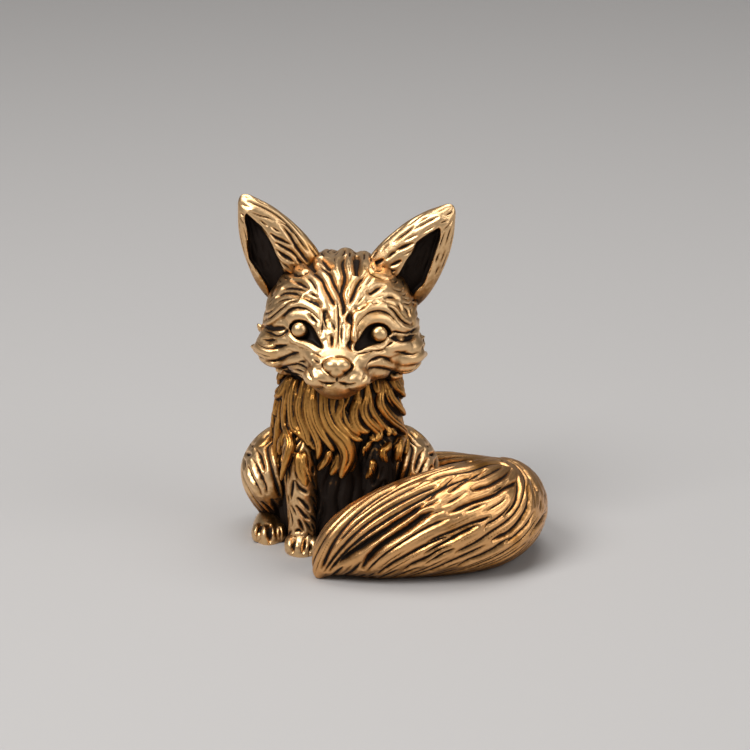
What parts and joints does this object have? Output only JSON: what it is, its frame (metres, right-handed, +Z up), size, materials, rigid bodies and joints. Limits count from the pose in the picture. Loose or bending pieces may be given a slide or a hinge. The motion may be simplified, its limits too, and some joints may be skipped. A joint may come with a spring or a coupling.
{
  "type": "fox figurine",
  "caption": "Small cast fox that sits with its head turned up, pricked ears, a shaggy ruff and a full tail curled round its side to the front.",
  "frame": {"origin": "centre of the flat seat that the torso rests on", "axes": "+Z up through the torso and the head; -Y the way that the fox faces; +X the fox's own left, the side that its tail curls round"},
  "size_m": [0.0306, 0.027, 0.0349],
  "materials": {
    "coat_brass": "antiqued: polished ridges over a black-brown patina in the carved grooves",
    "ruff_brass": "antiqued, with more of the dark patina left between the locks",
    "tail_brass": "antiqued and handled, with coppery highlights along the locks",
    "bright_brass": "worn bright by handling, with little patina"
  },
  "bodies": {
    "root": {"torso": "coat_brass", "head": "coat_brass", "nose": "bright_brass", "eye_left": "bright_brass", "eye_right": "bright_brass", "ear_left": "coat_brass", "ear_right": "coat_brass", "ruff": "ruff_brass", "foreleg_left": "coat_brass", "foreleg_right": "coat_brass", "forepaw_left": "bright_brass", "forepaw_right": "bright_brass", "haunch_left": "coat_brass", "haunch_right": "coat_brass", "hind_paw_left": "bright_brass", "hind_paw_right": "bright_brass", "tail": "tail_brass"}
  },
  "joints": []
}
